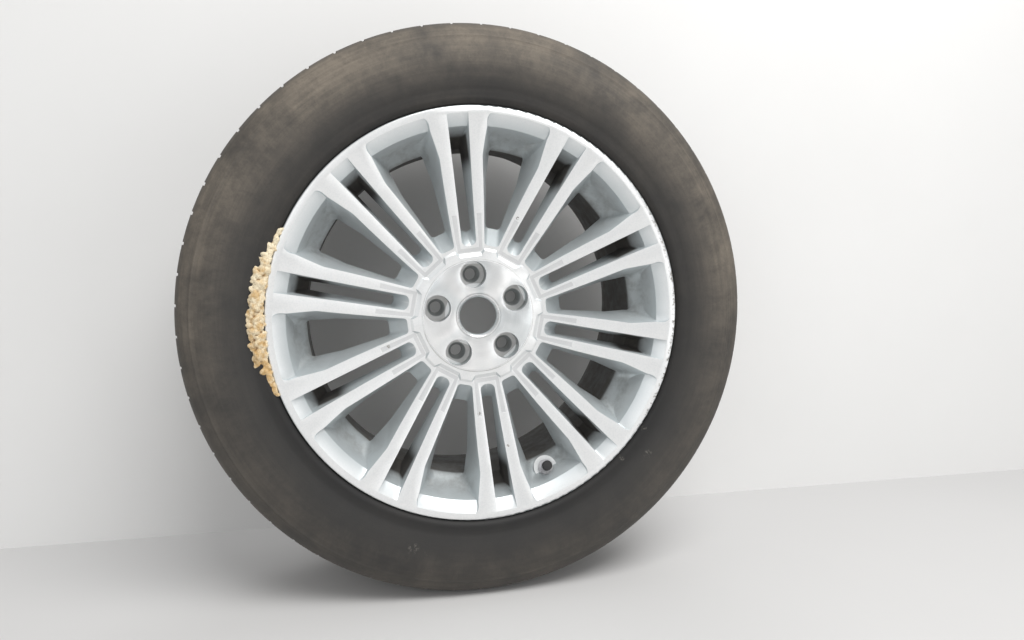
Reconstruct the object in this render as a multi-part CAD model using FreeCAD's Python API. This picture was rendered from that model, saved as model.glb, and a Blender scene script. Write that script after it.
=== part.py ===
import FreeCAD
import Part
import math
import os
from FreeCAD import Vector

# A road wheel: one-piece cast alloy rim with ten double spokes, a fitted tyre,
# a clamp-in valve with its pressure sensor, and a crust of set sealant foam.
# The wheel turns about Y, its outer face looks to -Y, and +Z is up.
# The origin is on the axis, half way between the two rim flanges.
# Radii are from the axis; "y" values are places along it.

# Driving dimensions, millimetres and degrees

# rim, 19 x 8 J
bead_seat_r = 243.7
flange_height = 17.5
rim_width = 203.2
flange_thick = 10.9
flange_edge_round = 2.5
flange_tip_round = 6.0
flange_root_round = 6.5
bead_seat_long = 19.8
bead_seat_drop = 1.75
hump_height = 0.8
hump_long = 3.5
well_r = 221.5
well_front_y = -55.0
well_rear_y = -15.0
well_wall = 5.5
barrel_r = 239.5
barrel_wall = 6.0
barrel_front_y = 9.0
well_slope_shift = 2.0

# front dish between the ring face and the well
ring_face_wide = 9.2
lip_inner_r = 237.5
lip_inner_y = -102.7
wall_inner_r = 228.5
wall_inner_y = -72.5
crest_y = -58.5

# spokes
first_spoke_angle = 97.3
pair_count = 10
spoke_root_r = 82.0
spoke_root_y = -75.5
spoke_mid_r = 170.0
spoke_mid_y = -92.5
pair_half_root = 19.0
pair_half_kink = 27.0
flare_long = 27.0
flare_end_long = 17.0
flare_wide = 7.0
flare_wide_back = 3.0
slot_half_root = 9.2
slot_half_rim = 13.3
window_end_r = 90.5
slot_end_r = 91.0
window_draft = 0.26
slot_draft = 0.17
window_end_draft = 0.7
web_ramp = 1.45
slot_end_draft = 1.25
slot_end_share = 0.9
spoke_widest_y = -62.0
back_taper = 0.4
spoke_back_r = 90.0
spoke_back_y = -48.0
spoke_back_rim_y = -56.0
window_end_round = 5.0
window_kink_round = 20.0
window_corner_round = 9.0
slot_corner_round = 3.0
cut_margin = 1.5
cut_past = 1.0
cut_front_y = -130.0
cut_rear_y = -38.0

# hub
hub_offset = 45.0
hub_face_y = -78.5
disc_r = 72.2
disc_high = 0.8
pad_r = 76.0
cog_notch_r = 76.8
cog_notch_half = 14.0
cog_tooth_r = 85.0
cog_tooth_half = 7.6
cog_chamfer = 4.8
bore_r = 31.7
bore_long = 20.0
bore_chamfer = 2.0
cap_hole_r = 24.5
cap_hole_long = 8.0
cap_lip_chamfer = 3.0
cap_groove_r = 28.6
cap_groove_wide = 1.6
cap_groove_deep = 1.2

# bolt holes
bolt_count = 5
bolt_circle_r = 54.0
bolt_hole_r = 7.75
bolt_seat_r = 11.5
bolt_seat_half_angle = 30.0
bolt_pocket_r = 17.2
bolt_pocket_deep = 18.0

# pockets in the back of the hub, between the bolt holes
back_pocket_inner_r = 44.0
back_pocket_outer_r = 68.0
back_pocket_half_inner = 9.0
back_pocket_half_outer = 19.0
back_pocket_round = 6.0
back_pocket_deep = 14.0

# tyre
tyre_r = 366.0
tyre_half_wide = 121.0
tyre_widest_r = 308.0
tread_half_wide = 88.0
tread_drop = 3.5
shoulder_r = 345.0
shoulder_half_wide = 112.0
sidewall_thick = 9.5
tread_thick = 13.5
bead_clear = 0.15
bead_toe_thick = 9.0
bead_top_r = 262.0
guard_r = 270.0
guard_half_wide = 116.0
guard_foot_r = 277.0
guard_foot_step = 1.0
guard_bow_r = 4.5
guard_bow_y = 0.6
shoulder_bow_r = 4.5
shoulder_bow_y = 2.0
bead_toe_gap = 1.0
bead_toe_step = 2.0
liner_shoulder_step = 2.0
liner_edge_drop = 2.2
liner_edge_wide = 20.0
groove_count = 4
groove_pitch = 37.0
groove_wide = 9.0
groove_deep = 4.5
groove_side = 1.0
shoulder_slot_count = 62
shoulder_slot_wide = 4.0
shoulder_slot_deep = 4.0
shoulder_slot_inner_y = 72.0
shoulder_slot_high = 12.0

# valve
valve_angle = 294.0
valve_tilt = 22.5
valve_surface_r = 225.7
valve_surface_y = -80.0
valve_sink = 4.0
valve_wall = 5.5
valve_hole_r = 5.75
valve_seat_r = 11.0
valve_inner_seat_r = 12.5
valve_cut_reach = 40.0
valve_boss_r = 15.5
valve_boss_proud = 0.6
valve_boss_deep = 24.0
stem_r = 5.4
stem_neck_r = 3.85
stem_bore_r = 2.6
stem_long = 27.0
stem_thread_long = 8.0
stem_taper_long = 2.0
stem_tip_chamfer = 0.5
stem_base_r = 8.0
stem_base_thick = 3.0
grommet_thick = 3.0
grommet_r = 9.0
grommet_taper = 0.8
grommet_front_gap = 0.5
washer_thick = 1.2
washer_r = 10.0
nut_flange_thick = 2.0
nut_flange_r = 9.2
nut_across_flats = 14.0
nut_high = 8.0
nut_clear = 0.1
core_r = 2.5
core_long = 7.0
core_sink = 1.5
core_bore_r = 1.3
pin_r = 0.8
pin_proud = 0.6
pin_head_r = 2.1
pin_head_thick = 1.5
core_step_r = 1.0
core_step_long = 1.0
pin_head_gap = 0.05
cap_r = 6.5
cap_long = 13.0
cap_wall_end = 2.0
cap_thread_clear = 0.1
cap_mouth_clear = 0.3
cap_edge_chamfer = 1.0
cap_rib_end = 1.0
cap_rib_count = 18
cap_rib_r = 0.45
cap_seal_thick = 1.4
cap_seal_clear = 0.1
cap_seal_bore_r = 2.6
cap_seal_side_clear = 0.1

# pressure sensor beside the inner end of the stem, in the rim well
sensor_long = 44.0
sensor_wide = 22.0
sensor_high = 14.0
sensor_round = 4.0
sensor_start = 10.0
sensor_low_side = 2.0
sensor_step = 2.5
lug_r = 8.0
lug_thick = 4.5
lug_arm_wide = 7.0
screw_r = 2.5
screw_head_r = 4.0
screw_head_thick = 2.4
screw_in_stem = 6.0
screw_clear = 0.1

# balance weights stuck inside the barrel
weight_count = 6
weight_angle = 128.0
weight_long = 17.0
weight_gap = 1.2
weight_wide = 19.0
weight_thick = 3.6
weight_y = 30.0
weight_seat = 0.1

# crust of set foam on the joint of rim and tyre, half widths along its arc
crust_start_angle = 154.0
crust_step_angle = 7.1
crust_half_wides = (3.0, 8.0, 11.5, 12.5, 12.0, 10.5, 6.0, 2.5)
crust_inner_r = 258.5
crust_middle_y = -112.5
crust_high = 8.0
crust_clear = 0.3

# Derived places

flange_r = bead_seat_r + flange_height
flange_in_y = rim_width / 2
flange_out_y = flange_in_y + flange_thick
ring_inner_r = flange_r - ring_face_wide
seat_inner_r = bead_seat_r - bead_seat_drop
seat_inner_y = flange_in_y - bead_seat_long
hump_foot_y = seat_inner_y - hump_long
well_inner_r = well_r - well_wall
hub_back_y = -hub_offset
disc_face_y = hub_face_y - disc_high
pitch_angle = 360.0 / pair_count
half_pitch = math.radians(pitch_angle / 2)
axis = Vector(0, 1, 0)
origin = Vector(0, 0, 0)


# closed outline through corners given as (point, radius)
def rounded_wire(corners):
    spots = []
    count = len(corners)
    for i, (corner, radius) in enumerate(corners):
        to_before = (corners[i - 1][0] - corner).normalize()
        to_after = (corners[(i + 1) % count][0] - corner).normalize()
        half = to_before.getAngle(to_after) / 2
        if radius == 0 or half > math.radians(89.9):
            spots.append((corner, None, corner))
            continue
        reach = radius / math.tan(half)
        bisector = (to_before + to_after).normalize()
        middle = corner + bisector * (radius / math.sin(half) - radius)
        spots.append((corner + to_before * reach, middle, corner + to_after * reach))
    edges = []
    for i, (start, middle, end) in enumerate(spots):
        if middle is not None:
            edges.append(Part.Arc(start, middle, end).toShape())
        edges.append(Part.LineSegment(end, spots[(i + 1) % count][0]).toShape())
    return Part.Wire(edges)


# full turn about the wheel axis of a profile given as (radius, y, corner radius)
def turned(profile):
    wire = rounded_wire([(Vector(r, y, 0), round_r) for r, y, round_r in profile])
    return Part.Face(wire).revolve(origin, axis, 360)


# angle counted from +X towards +Z, as seen from the outer face
def around(shape, angle):
    turned_copy = shape.copy()
    turned_copy.rotate(origin, Vector(0, -1, 0), angle)
    return turned_copy


# copies of a shape round the wheel axis
def ring_of(shape, count, start_angle):
    return [around(shape, start_angle + i * 360.0 / count) for i in range(count)]


# place of the spoke face along the axis: an arc through root, middle and ring
face_arc = Part.Arc(
    Vector(spoke_root_r, spoke_root_y, 0),
    Vector(spoke_mid_r, spoke_mid_y, 0),
    Vector(ring_inner_r, -flange_out_y, 0),
)


def face_y(r):
    share = (r - spoke_root_r) / (ring_inner_r - spoke_root_r)
    chord_y = spoke_root_y + share * (-flange_out_y - spoke_root_y)
    mid_share = (spoke_mid_r - spoke_root_r) / (ring_inner_r - spoke_root_r)
    sag = spoke_mid_y - (spoke_root_y + mid_share * (-flange_out_y - spoke_root_y))
    return chord_y + sag * share * (1 - share) / (mid_share * (1 - mid_share))


# radius that the window and slot cuts reach at a place along the axis,
# just inside the metal of the barrel
def cut_reach(y):
    crest = well_inner_r + cut_margin
    slope = (ring_inner_r + cut_margin - crest) / (-flange_out_y - crest_y)
    return crest + slope * (min(y, crest_y) - crest_y)


# how far a drafted flank stands out from its edge on the spoke face;
# behind the widest level of the spoke it comes back in
def draft(r, y, rate):
    return rate * (min(y, spoke_widest_y) - face_y(r)) - back_taper * max(0, y - spoke_widest_y)


# half width of a double spoke on its window side
def pair_half(r, kink_r, y, extra):
    slope = (pair_half_kink - pair_half_root) / (kink_r - spoke_root_r)
    return pair_half_root + slope * (r - spoke_root_r) + extra + draft(r, y, window_draft)


# half width of the slot between the spokes of a pair
def slot_half(r, y):
    slope = (slot_half_rim - slot_half_root) / (ring_inner_r - spoke_root_r)
    return slot_half_root + slope * (r - spoke_root_r) - draft(r, y, slot_draft)


# hub-side end of a window or slot: a ramp from its edge on the spoke face to the widest level
def end_radius(front_r, y, front_rate, rate):
    past_face = min(y, spoke_widest_y) - face_y(front_r)
    return front_r + (rate if past_face > 0 else front_rate) * past_face


# extra width of the flare where a spoke meets the ring
def flare_extra(y):
    share = (min(y, spoke_widest_y) + flange_out_y) / (spoke_widest_y + flange_out_y)
    return flare_wide + share * (flare_wide_back - flare_wide)


# point of the wheel face by radius along a spoke's middle line and distance from it
def spoke_point(r, across, turn, y):
    x = r * math.cos(turn) - across * math.sin(turn)
    z = r * math.sin(turn) + across * math.cos(turn)
    return Vector(x, y, z)


# outline of one window at a place along the axis, its middle line on +X
def window_outline(y):
    reach = cut_reach(y)
    kink_r = reach - flare_long - flare_end_long
    flare_r = reach - flare_end_long
    end_r = end_radius(window_end_r, y, window_end_draft, web_ramp)
    flare = flare_extra(y)
    flank = [
        (end_r, pair_half(end_r, kink_r, y, 0), window_end_round),
        (kink_r, pair_half(kink_r, kink_r, y, 0), window_kink_round),
        (flare_r, pair_half(flare_r, kink_r, y, flare), window_kink_round),
    ]
    corner_across = pair_half(reach, kink_r, y, flare)
    corner_turn = half_pitch - math.asin(corner_across / reach)
    lower = [(spoke_point(r, half, -half_pitch, y), round_r) for r, half, round_r in flank]
    upper = [(spoke_point(r, -half, half_pitch, y), round_r) for r, half, round_r in reversed(flank)]
    arc_turns = (-corner_turn, -corner_turn / 3, corner_turn / 3, corner_turn)
    arc_rounds = (window_corner_round, 0, 0, window_corner_round)
    outer = [
        (Vector(reach * math.cos(turn), y, reach * math.sin(turn)), round_r)
        for turn, round_r in zip(arc_turns, arc_rounds)
    ]
    return rounded_wire(lower + outer + upper)


# outline of the slot between the two spokes of a pair, its middle line on +X
def slot_outline(y):
    reach = cut_reach(y)
    end_r = end_radius(slot_end_r, y, slot_end_draft, slot_end_draft)
    half_end = slot_half(end_r, y)
    half_out = slot_half(reach, y)
    end_round = slot_end_share * half_end
    return rounded_wire([
        (Vector(end_r, y, -half_end), end_round),
        (Vector(reach, y, -half_out), slot_corner_round),
        (Vector(reach, y, half_out), slot_corner_round),
        (Vector(end_r, y, half_end), end_round),
    ])


# cutter through outlines at the front, at the root of the spoke face,
# at the widest spoke level and behind the spokes
def drafted_cutter(outline):
    levels = (cut_front_y, face_y(window_end_r), spoke_widest_y, cut_rear_y)
    return Part.makeLoft([outline(y) for y in levels], True, True)


def make_barrel():
    hump_r = seat_inner_r + hump_height
    hump_y = seat_inner_y - hump_long / 2
    barrel_inner_r = barrel_r - barrel_wall
    return turned([
        (flange_r, -flange_out_y, flange_edge_round),
        (ring_inner_r, -flange_out_y, 0),
        (lip_inner_r, lip_inner_y, 0),
        (wall_inner_r, wall_inner_y, 0),
        (well_inner_r, crest_y, 0),
        (well_inner_r, well_rear_y + well_slope_shift, 0),
        (barrel_inner_r, barrel_front_y + well_slope_shift, 0),
        (seat_inner_r - barrel_wall, seat_inner_y, 0),
        (bead_seat_r - barrel_wall + bead_seat_drop, flange_out_y, 0),
        (flange_r, flange_out_y, flange_edge_round),
        (flange_r, flange_in_y, flange_tip_round),
        (bead_seat_r, flange_in_y, flange_root_round),
        (seat_inner_r, seat_inner_y, 0),
        (hump_r, hump_y, 0),
        (barrel_r, hump_foot_y, 0),
        (barrel_r, barrel_front_y, 0),
        (well_r, well_rear_y, 0),
        (well_r, well_front_y, 0),
        (seat_inner_r, -hump_foot_y, 0),
        (hump_r, -hump_y, 0),
        (seat_inner_r, -seat_inner_y, 0),
        (bead_seat_r, -flange_in_y, flange_root_round),
        (flange_r, -flange_in_y, flange_tip_round),
    ])


# solid of revolution that the spokes are left standing in
def make_disc():
    inner_r = cap_hole_r / 2
    back_r = well_inner_r + cut_margin
    outline = [
        Vector(ring_inner_r, -flange_out_y, 0),
        Vector(ring_inner_r + cut_margin, -flange_out_y + cut_margin, 0),
        Vector(lip_inner_r + cut_margin, lip_inner_y + cut_margin, 0),
        Vector(wall_inner_r + cut_margin, wall_inner_y + cut_margin, 0),
        Vector(back_r, crest_y + cut_margin, 0),
        Vector(back_r, spoke_back_rim_y, 0),
        Vector(spoke_back_r, spoke_back_y, 0),
        Vector(pad_r, hub_back_y, 0),
        Vector(inner_r, hub_back_y, 0),
        Vector(inner_r, spoke_root_y, 0),
        Vector(spoke_root_r, spoke_root_y, 0),
    ]
    edges = [Part.LineSegment(a, b).toShape() for a, b in zip(outline, outline[1:])]
    edges.append(face_arc.toShape())
    return Part.Face(Part.Wire(edges)).revolve(origin, axis, 360)


# outline of the hub's raised face: a notch at each spoke root and a tooth between
def cog_outline(y, grow):
    points = []
    tooth_turn = math.atan2(cog_tooth_half, cog_tooth_r)
    for i in range(pair_count):
        spoke_turn = math.radians(first_spoke_angle + i * pitch_angle)
        tooth_mid = spoke_turn + half_pitch
        points.append(spoke_point(cog_notch_r + grow, -cog_notch_half, spoke_turn, y))
        points.append(spoke_point(cog_notch_r + grow, cog_notch_half, spoke_turn, y))
        for side in (-1, 1):
            turn = tooth_mid + side * tooth_turn
            tooth_r = cog_tooth_r + grow
            points.append(Vector(tooth_r * math.cos(turn), y, tooth_r * math.sin(turn)))
    return Part.makePolygon(points + points[:1])


def make_hub_face():
    foot = Part.Face(cog_outline(hub_back_y - back_pocket_deep, cog_chamfer))
    foot = foot.extrude(Vector(0, spoke_root_y - hub_back_y + back_pocket_deep, 0))
    top = Part.makeLoft([cog_outline(spoke_root_y, cog_chamfer), cog_outline(hub_face_y, 0)], True, True)
    disc = Part.makeCylinder(disc_r, disc_high, Vector(0, hub_face_y, 0), Vector(0, -1, 0))
    return foot.fuse([top, disc])


# everything bored out along the wheel axis
def bore_cutter():
    hole_back_y = disc_face_y + cap_hole_long
    bore_front_y = hub_back_y - bore_long
    bore = turned([
        (0, disc_face_y - cut_past, 0),
        (cap_hole_r + cap_lip_chamfer + cut_past, disc_face_y - cut_past, 0),
        (cap_hole_r, disc_face_y + cap_lip_chamfer, 0),
        (cap_hole_r, hole_back_y, 0),
        (bore_r, bore_front_y, 0),
        (bore_r, hub_back_y - bore_chamfer, 0),
        (bore_r + bore_chamfer + cut_past, hub_back_y + cut_past, 0),
        (0, hub_back_y + cut_past, 0),
    ])
    groove_out_r = cap_groove_r + cap_groove_wide
    groove = turned([
        (cap_groove_r, disc_face_y - cut_past, 0),
        (groove_out_r, disc_face_y - cut_past, 0),
        (groove_out_r, disc_face_y + cap_groove_deep, 0),
        (cap_groove_r, disc_face_y + cap_groove_deep, 0),
    ])
    return bore.fuse(groove)


# one bolt hole with its cone seat and its pocket in the front face
def bolt_cutter():
    seat_y = disc_face_y + bolt_pocket_deep
    cone_long = (bolt_seat_r - bolt_hole_r) / math.tan(math.radians(bolt_seat_half_angle))
    middle = Vector(bolt_circle_r, 0, 0)
    pocket_long = bolt_pocket_deep + cut_past
    pocket = Part.makeCylinder(bolt_pocket_r, pocket_long, middle + axis * (disc_face_y - cut_past), axis)
    seat = Part.makeCone(bolt_seat_r, bolt_hole_r, cone_long, middle + axis * seat_y, axis)
    hole_long = hub_back_y - seat_y + cut_past
    hole = Part.makeCylinder(bolt_hole_r, hole_long, middle + axis * seat_y, axis)
    return pocket.fuse([seat, hole])


# weight-saving pocket in the back of the hub
def back_pocket_cutter():
    corners = [
        Vector(back_pocket_inner_r, hub_back_y + cut_past, -back_pocket_half_inner),
        Vector(back_pocket_outer_r, hub_back_y + cut_past, -back_pocket_half_outer),
        Vector(back_pocket_outer_r, hub_back_y + cut_past, back_pocket_half_outer),
        Vector(back_pocket_inner_r, hub_back_y + cut_past, back_pocket_half_inner),
    ]
    face = Part.Face(rounded_wire([(corner, back_pocket_round) for corner in corners]))
    return face.extrude(Vector(0, -back_pocket_deep - cut_past, 0))


# valve place: its own z runs out of the rim towards the cap, zero at the front seat
tilt = math.radians(valve_tilt)
valve_out = Vector(-math.sin(tilt), -math.cos(tilt), 0)
valve_side = Vector(0, 0, 1)
valve_seat = Vector(valve_surface_r, valve_surface_y, 0) - valve_out * valve_sink


def at_valve(shape):
    across = valve_out.cross(valve_side)
    matrix = FreeCAD.Matrix(
        valve_side.x, across.x, valve_out.x, valve_seat.x,
        valve_side.y, across.y, valve_out.y, valve_seat.y,
        valve_side.z, across.z, valve_out.z, valve_seat.z,
        0, 0, 0, 1,
    )
    placed = shape.copy()
    placed.transformShape(matrix)
    return around(placed, valve_angle)


# round piece about the valve's own axis, by (radius, height)
def valve_turned(profile):
    wire = Part.makePolygon([Vector(r, 0, z) for r, z in profile + profile[:1]])
    return Part.Face(wire).revolve(origin, Vector(0, 0, 1), 360)


def valve_rod(radius, low, high):
    return Part.makeCylinder(radius, high - low, Vector(0, 0, low))


# hole and the two spot faces for the valve
def valve_cutter():
    reach = valve_cut_reach
    front = valve_rod(valve_seat_r, 0, reach)
    hole = valve_rod(valve_hole_r, -reach, reach)
    back = valve_rod(valve_inner_seat_r, -reach, -valve_wall)
    return at_valve(front.fuse([hole, back]))


# round pad of thicker wall that the valve is clamped in, kept inside the outer line of the barrel
def valve_boss():
    seat_room_r = seat_inner_r - cut_past
    well_room_r = well_r - cut_past
    room = turned([
        (0, -flange_in_y, 0),
        (seat_room_r, -flange_in_y, 0),
        (seat_room_r, -hump_foot_y, 0),
        (well_room_r, well_front_y, 0),
        (well_room_r, well_rear_y, 0),
        (0, well_rear_y, 0),
    ])
    return at_valve(valve_rod(valve_boss_r, -valve_boss_deep, valve_boss_proud)).common(room)


def make_rim():
    barrel = make_barrel()
    window = drafted_cutter(window_outline).cut(barrel)
    slot = drafted_cutter(slot_outline).cut(barrel)
    cutters = ring_of(window, pair_count, first_spoke_angle + pitch_angle / 2)
    cutters += ring_of(slot, pair_count, first_spoke_angle)
    cutters += ring_of(bolt_cutter(), bolt_count, first_spoke_angle)
    cutters += ring_of(back_pocket_cutter(), bolt_count, first_spoke_angle + 180.0 / bolt_count)
    body = make_disc().fuse([barrel, make_hub_face()]).cut(cutters + [bore_cutter()])
    return body.fuse(valve_boss()).cut(valve_cutter())


# one half of the tyre's outer line from bead to tread, then its inner line back
def make_tyre():
    seat_r = bead_seat_r + bead_clear
    heel_y = flange_in_y - bead_clear
    toe_y = flange_in_y - bead_seat_long + bead_toe_gap
    toe_r = bead_seat_r - bead_seat_drop * (heel_y - toe_y) / bead_seat_long + bead_clear
    crown_r = tyre_r - tread_drop
    inner_half = tyre_half_wide - sidewall_thick
    inner_crown_r = tyre_r - tread_thick
    root_mid = flange_root_round * (1 - math.sqrt(0.5))

    liner_shoulder_r = shoulder_r - liner_shoulder_step
    liner_shoulder_y = shoulder_half_wide - sidewall_thick - liner_shoulder_step

    def half(side):
        def at(r, y):
            return Vector(r, side * y, 0)

        outer = [
            Part.LineSegment(at(toe_r, toe_y), at(seat_r, heel_y - flange_root_round)),
            Part.Arc(
                at(seat_r, heel_y - flange_root_round),
                at(seat_r + root_mid, heel_y - root_mid),
                at(seat_r + flange_root_round, heel_y),
            ),
            Part.LineSegment(at(seat_r + flange_root_round, heel_y), at(bead_top_r, heel_y)),
            Part.LineSegment(at(bead_top_r, heel_y), at(bead_top_r, flange_out_y - flange_edge_round)),
            Part.Arc(
                at(bead_top_r, flange_out_y - flange_edge_round),
                at(guard_r - guard_bow_r, guard_half_wide - guard_bow_y),
                at(guard_r, guard_half_wide),
            ),
            Part.LineSegment(
                at(guard_r, guard_half_wide),
                at(guard_foot_r, guard_half_wide - guard_foot_step),
            ),
            Part.Arc(
                at(guard_foot_r, guard_half_wide - guard_foot_step),
                at(tyre_widest_r, tyre_half_wide),
                at(shoulder_r, shoulder_half_wide),
            ),
            Part.Arc(
                at(shoulder_r, shoulder_half_wide),
                at(
                    (shoulder_r + crown_r) / 2 + shoulder_bow_r,
                    (shoulder_half_wide + tread_half_wide) / 2 + shoulder_bow_y,
                ),
                at(crown_r, tread_half_wide),
            ),
        ]
        inner = [
            Part.LineSegment(at(toe_r, toe_y), at(toe_r + bead_toe_thick, toe_y - bead_toe_step)),
            Part.LineSegment(
                at(toe_r + bead_toe_thick, toe_y - bead_toe_step),
                at(bead_top_r, heel_y - bead_toe_thick),
            ),
            Part.Arc(
                at(bead_top_r, heel_y - bead_toe_thick),
                at(tyre_widest_r, inner_half),
                at(liner_shoulder_r, liner_shoulder_y),
            ),
            Part.Arc(
                at(liner_shoulder_r, liner_shoulder_y),
                at(inner_crown_r - liner_edge_drop, tread_half_wide),
                at(inner_crown_r, tread_half_wide - liner_edge_wide),
            ),
        ]
        return outer, inner

    front_outer, front_inner = half(-1)
    rear_outer, rear_inner = half(1)
    crown = Part.Arc(
        Vector(crown_r, -tread_half_wide, 0),
        Vector(tyre_r, 0, 0),
        Vector(crown_r, tread_half_wide, 0),
    )
    liner = Part.LineSegment(
        Vector(inner_crown_r, -tread_half_wide + liner_edge_wide, 0),
        Vector(inner_crown_r, tread_half_wide - liner_edge_wide, 0),
    )
    pieces = front_outer + [crown] + rear_outer + rear_inner + [liner] + front_inner
    wire = Part.Wire(Part.__sortEdges__([piece.toShape() for piece in pieces]))
    body = Part.Face(wire).revolve(origin, axis, 360)
    return body.cut(tread_grooves() + shoulder_slots())


def tread_grooves():
    rings = []
    for i in range(groove_count):
        middle = (i - (groove_count - 1) / 2) * groove_pitch
        crown_r = tyre_r - tread_drop * (middle / tread_half_wide) ** 2
        low, high = middle - groove_wide / 2, middle + groove_wide / 2
        rings.append(turned([
            (crown_r - groove_deep, low + groove_side, 0),
            (crown_r + groove_deep, low - groove_side, 0),
            (crown_r + groove_deep, high + groove_side, 0),
            (crown_r - groove_deep, high - groove_side, 0),
        ]))
    return rings


def shoulder_slots():
    slots = []
    low_r = tyre_r - tread_drop - shoulder_slot_deep
    long = shoulder_half_wide - shoulder_slot_inner_y
    for side in (-1, 1):
        start_y = shoulder_slot_inner_y if side > 0 else -shoulder_slot_inner_y - long
        corner = Vector(low_r, start_y, -shoulder_slot_wide / 2)
        slot = Part.makeBox(shoulder_slot_high, long, shoulder_slot_wide, corner)
        shift = 90.0 * (1 - side) / shoulder_slot_count
        slots += ring_of(slot, shoulder_slot_count, shift)
    return slots


# valve pieces, each about its own z

stem_foot = -valve_wall - grommet_thick - stem_base_thick
nut_low = washer_thick
stem_top = stem_long
core_top = stem_top - core_sink
core_low = core_top - core_long


def make_stem():
    shoulder = stem_top - stem_thread_long
    return valve_turned([
        (stem_bore_r, stem_foot),
        (stem_base_r, stem_foot),
        (stem_base_r, stem_foot + stem_base_thick),
        (stem_r, stem_foot + stem_base_thick),
        (stem_r, shoulder - stem_taper_long),
        (stem_neck_r, shoulder),
        (stem_neck_r, stem_top - stem_tip_chamfer),
        (stem_neck_r - stem_tip_chamfer, stem_top),
        (stem_bore_r, stem_top),
    ])


def make_grommet():
    low = -valve_wall - grommet_thick
    inner_r = stem_r + nut_clear
    sleeve_r = valve_hole_r - nut_clear
    return valve_turned([
        (inner_r, low),
        (grommet_r, low),
        (grommet_r - grommet_taper, -valve_wall),
        (sleeve_r, -valve_wall),
        (sleeve_r, -grommet_front_gap),
        (inner_r, -grommet_front_gap),
    ])


def make_washer():
    return valve_rod(washer_r, 0, washer_thick).cut(valve_rod(stem_r + nut_clear, 0, washer_thick))


def make_nut():
    flange_top = nut_low + nut_flange_thick
    corner_r = nut_across_flats / math.sqrt(3)
    turns = [2 * math.pi * i / 6 for i in range(6)]
    corners = [Vector(corner_r * math.cos(turn), corner_r * math.sin(turn), flange_top) for turn in turns]
    hex_face = Part.Face(Part.makePolygon(corners + corners[:1]))
    hexagon = hex_face.extrude(Vector(0, 0, nut_high - nut_flange_thick))
    flange = valve_rod(nut_flange_r, nut_low, flange_top)
    return flange.fuse(hexagon).cut(valve_rod(stem_r + nut_clear, nut_low, nut_low + nut_high))


def make_core():
    return valve_turned([
        (core_step_r, core_low),
        (core_r, core_low),
        (core_r, core_top),
        (core_bore_r, core_top),
        (core_bore_r, core_low + core_step_long),
        (core_step_r, core_low + core_step_long),
    ])


# pin that opens the valve when it is pressed in, with its seal head below the core
def make_pin():
    top = core_top + pin_proud
    head_top = core_low - pin_head_gap
    return valve_turned([
        (0, head_top - pin_head_thick),
        (pin_head_r, head_top - pin_head_thick),
        (pin_head_r, head_top),
        (pin_r, head_top),
        (pin_r, top),
        (0, top),
    ])


def make_cap():
    top = stem_top + cap_seal_thick + 2 * cap_seal_clear + cap_wall_end
    low = top - cap_long
    hollow_r = stem_neck_r + cap_thread_clear
    mouth_top = stem_top - stem_thread_long
    body = valve_turned([
        (0, top),
        (cap_r - cap_edge_chamfer, top),
        (cap_r, top - cap_edge_chamfer),
        (cap_r, low),
        (stem_r + cap_mouth_clear, low),
        (stem_r + cap_mouth_clear, mouth_top),
        (hollow_r, mouth_top),
        (hollow_r, top - cap_wall_end),
        (0, top - cap_wall_end),
    ])
    flutes = []
    for i in range(cap_rib_count):
        turn = 2 * math.pi * i / cap_rib_count
        middle = Vector(cap_r * math.cos(turn), cap_r * math.sin(turn), low - cap_rib_end)
        flutes.append(Part.makeCylinder(cap_rib_r, cap_long - 2 * cap_rib_end, middle))
    return body.cut(flutes)


def make_cap_seal():
    low = stem_top + cap_seal_clear
    high = low + cap_seal_thick
    seal_r = stem_neck_r - cap_seal_side_clear
    return valve_rod(seal_r, low, high).cut(valve_rod(cap_seal_bore_r, low, high))


# sensor body beside the stem, with a lug under the stem's foot
def make_sensor():
    lug_low = stem_foot - lug_thick
    low = stem_foot - sensor_step - sensor_high
    near = sensor_low_side
    far = sensor_low_side - sensor_wide
    corners = [
        Vector(sensor_start, far, low),
        Vector(sensor_start + sensor_long, far, low),
        Vector(sensor_start + sensor_long, near, low),
        Vector(sensor_start, near, low),
    ]
    case = Part.Face(rounded_wire([(corner, sensor_round) for corner in corners]))
    case = case.extrude(Vector(0, 0, sensor_high))
    arm_corner = Vector(0, -lug_r, lug_low)
    arm = Part.makeBox(sensor_start + sensor_round, lug_arm_wide, lug_thick, arm_corner)
    lug = valve_rod(lug_r, lug_low, stem_foot)
    return case.fuse([arm, lug]).cut(valve_rod(screw_r + screw_clear, lug_low, stem_foot))


def make_sensor_screw():
    head_top = stem_foot - lug_thick
    head = valve_rod(screw_head_r, head_top - screw_head_thick, head_top)
    return head.fuse(valve_rod(screw_r, head_top, stem_foot + screw_in_stem))


# row of stick-on weights inside the barrel, separate blocks
def make_weights():
    front_r = barrel_r - barrel_wall
    front_y = barrel_front_y + well_slope_shift
    rear_r = bead_seat_r - bead_seat_drop - barrel_wall
    rear_y = flange_in_y - bead_seat_long

    def seat_r(y):
        return front_r + (rear_r - front_r) * (y - front_y) / (rear_y - front_y) - weight_seat

    low = weight_y - weight_wide / 2
    high = weight_y + weight_wide / 2
    corners = [
        Vector(seat_r(low), low, 0),
        Vector(seat_r(high), high, 0),
        Vector(seat_r(high) - weight_thick, high, 0),
        Vector(seat_r(low) - weight_thick, low, 0),
    ]
    face = Part.Face(Part.makePolygon(corners + corners[:1]))
    turn = math.degrees(weight_long / seat_r(weight_y))
    pitch = math.degrees((weight_long + weight_gap) / seat_r(weight_y))
    block = face.revolve(origin, Vector(0, -1, 0), turn)
    return Part.makeCompound([around(block, weight_angle + i * pitch) for i in range(weight_count)])


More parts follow.
